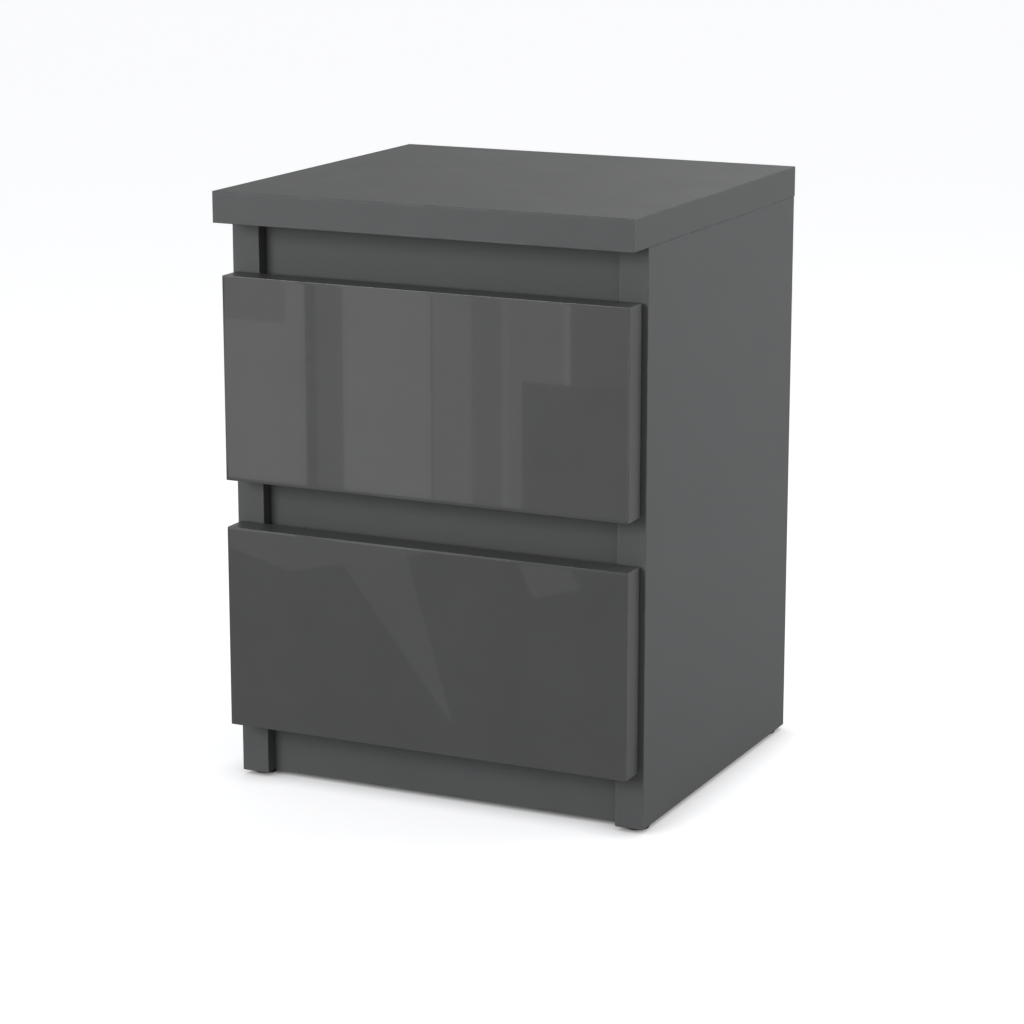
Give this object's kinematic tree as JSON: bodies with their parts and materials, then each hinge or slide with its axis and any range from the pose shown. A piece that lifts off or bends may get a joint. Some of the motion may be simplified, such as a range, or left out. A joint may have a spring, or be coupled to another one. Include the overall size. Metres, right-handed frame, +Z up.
{
  "type": "nightstand",
  "caption": "Compact nightstand with drawers: overhanging slab top, board sides, recessed rails, plain gloss fronts opened by finger gaps, drawers on roller runners.",
  "frame": {"origin": "on the floor, below the centre of the top panel", "axes": "+Z up, -Y towards the drawer fronts, +X to the right seen from the front"},
  "size_m": [0.3, 0.282, 0.406],
  "materials": {
    "graphite_melamine": "matt graphite melamine on particle board",
    "gloss_graphite": "high-gloss graphite lacquer on particle board",
    "drawer_board": "pale grey linen-pattern melamine",
    "drawer_sheet": "pale grey faced hardboard",
    "hardboard": "raw brown hardboard outside, graphite faced inside",
    "coated_steel": "off-white epoxy coating",
    "zinc_plated_steel": "bright zinc plate",
    "cast_zinc": "dull die cast",
    "beech": "fluted beech",
    "nylon": "natural nylon",
    "glide_plastic": "black moulded plastic",
    "bumper_rubber": "translucent soft pads"
  },
  "bodies": {
    "carcass": {"top_panel": "graphite_melamine", "bottom_panel": "graphite_melamine", "plinth_rail": "graphite_melamine", "middle_rail": "graphite_melamine", "upper_rail": "graphite_melamine", "rear_rail": "graphite_melamine", "left_side_panel": "graphite_melamine", "right_side_panel": "graphite_melamine", "back_panel": "hardboard", "front_left_glide": "glide_plastic", "rear_left_glide": "glide_plastic", "front_right_glide": "glide_plastic", "rear_right_glide": "glide_plastic", "cam_locks": "cast_zinc", "cam_bolts": "zinc_plated_steel", "wood_dowels": "beech", "back_panel_nails": "zinc_plated_steel", "cabinet_roller_pins": "zinc_plated_steel", "cabinet_channel_screws": "zinc_plated_steel", "lower_left_cabinet_channel": "coated_steel", "lower_right_cabinet_channel": "coated_steel", "upper_left_cabinet_channel": "coated_steel", "upper_right_cabinet_channel": "coated_steel"},
    "upper_drawer": {"upper_drawer_front": "gloss_graphite", "upper_drawer_back": "drawer_board", "upper_drawer_bottom": "drawer_sheet", "upper_drawer_left_side": "drawer_board", "upper_drawer_right_side": "drawer_board", "upper_drawer_cam_locks": "cast_zinc", "upper_drawer_cam_bolts": "zinc_plated_steel", "upper_drawer_dowels": "beech", "upper_drawer_back_screws": "zinc_plated_steel", "upper_drawer_member_screws": "zinc_plated_steel", "upper_drawer_roller_pins": "zinc_plated_steel", "upper_drawer_bumpers": "bumper_rubber", "upper_left_drawer_member": "coated_steel", "upper_right_drawer_member": "coated_steel"},
    "lower_drawer": {"lower_drawer_front": "gloss_graphite", "lower_drawer_back": "drawer_board", "lower_drawer_bottom": "drawer_sheet", "lower_drawer_left_side": "drawer_board", "lower_drawer_right_side": "drawer_board", "lower_drawer_cam_locks": "cast_zinc", "lower_drawer_cam_bolts": "zinc_plated_steel", "lower_drawer_dowels": "beech", "lower_drawer_back_screws": "zinc_plated_steel", "lower_drawer_member_screws": "zinc_plated_steel", "lower_drawer_roller_pins": "zinc_plated_steel", "lower_drawer_bumpers": "bumper_rubber", "lower_left_drawer_member": "coated_steel", "lower_right_drawer_member": "coated_steel"},
    "upper_left_front_roller": {"upper_left_front_roller": "nylon"},
    "upper_left_rear_roller": {"upper_left_rear_roller": "nylon"},
    "upper_right_front_roller": {"upper_right_front_roller": "nylon"},
    "upper_right_rear_roller": {"upper_right_rear_roller": "nylon"},
    "lower_left_front_roller": {"lower_left_front_roller": "nylon"},
    "lower_left_rear_roller": {"lower_left_rear_roller": "nylon"},
    "lower_right_front_roller": {"lower_right_front_roller": "nylon"},
    "lower_right_rear_roller": {"lower_right_rear_roller": "nylon"}
  },
  "joints": [
    {"name": "upper_drawer_slide", "type": "slide", "parent": "carcass", "child": "upper_drawer", "axis": [0, -1, 0], "range_m": [0, 0.2]},
    {"name": "lower_drawer_slide", "type": "slide", "parent": "carcass", "child": "lower_drawer", "axis": [0, -1, 0], "range_m": [0, 0.2]},
    {"name": "upper_left_front_roller_spin", "type": "hinge", "parent": "carcass", "child": "upper_left_front_roller", "pos_m": [-0.1237, -0.0995, 0.232], "axis": [1, 0, 0], "continuous": true},
    {"name": "upper_left_rear_roller_spin", "type": "hinge", "parent": "upper_drawer", "child": "upper_left_rear_roller", "pos_m": [-0.1237, 0.122, 0.2318], "axis": [1, 0, 0], "continuous": true},
    {"name": "upper_right_front_roller_spin", "type": "hinge", "parent": "carcass", "child": "upper_right_front_roller", "pos_m": [0.1237, -0.0995, 0.232], "axis": [1, 0, 0], "continuous": true},
    {"name": "upper_right_rear_roller_spin", "type": "hinge", "parent": "upper_drawer", "child": "upper_right_rear_roller", "pos_m": [0.1237, 0.122, 0.2318], "axis": [1, 0, 0], "continuous": true},
    {"name": "lower_left_front_roller_spin", "type": "hinge", "parent": "carcass", "child": "lower_left_front_roller", "pos_m": [-0.1237, -0.0995, 0.062], "axis": [1, 0, 0], "continuous": true},
    {"name": "lower_left_rear_roller_spin", "type": "hinge", "parent": "lower_drawer", "child": "lower_left_rear_roller", "pos_m": [-0.1237, 0.122, 0.0618], "axis": [1, 0, 0], "continuous": true},
    {"name": "lower_right_front_roller_spin", "type": "hinge", "parent": "carcass", "child": "lower_right_front_roller", "pos_m": [0.1237, -0.0995, 0.062], "axis": [1, 0, 0], "continuous": true},
    {"name": "lower_right_rear_roller_spin", "type": "hinge", "parent": "lower_drawer", "child": "lower_right_rear_roller", "pos_m": [0.1237, 0.122, 0.0618], "axis": [1, 0, 0], "continuous": true}
  ],
  "couplings": [
    {"joint": "upper_left_front_roller_spin", "follows": "upper_drawer_slide", "rad_per_m": 105.26},
    {"joint": "upper_left_rear_roller_spin", "follows": "upper_drawer_slide", "rad_per_m": 105.26},
    {"joint": "upper_right_front_roller_spin", "follows": "upper_drawer_slide", "rad_per_m": 105.26},
    {"joint": "upper_right_rear_roller_spin", "follows": "upper_drawer_slide", "rad_per_m": 105.26},
    {"joint": "lower_left_front_roller_spin", "follows": "lower_drawer_slide", "rad_per_m": 105.26},
    {"joint": "lower_left_rear_roller_spin", "follows": "lower_drawer_slide", "rad_per_m": 105.26},
    {"joint": "lower_right_front_roller_spin", "follows": "lower_drawer_slide", "rad_per_m": 105.26},
    {"joint": "lower_right_rear_roller_spin", "follows": "lower_drawer_slide", "rad_per_m": 105.26}
  ]
}
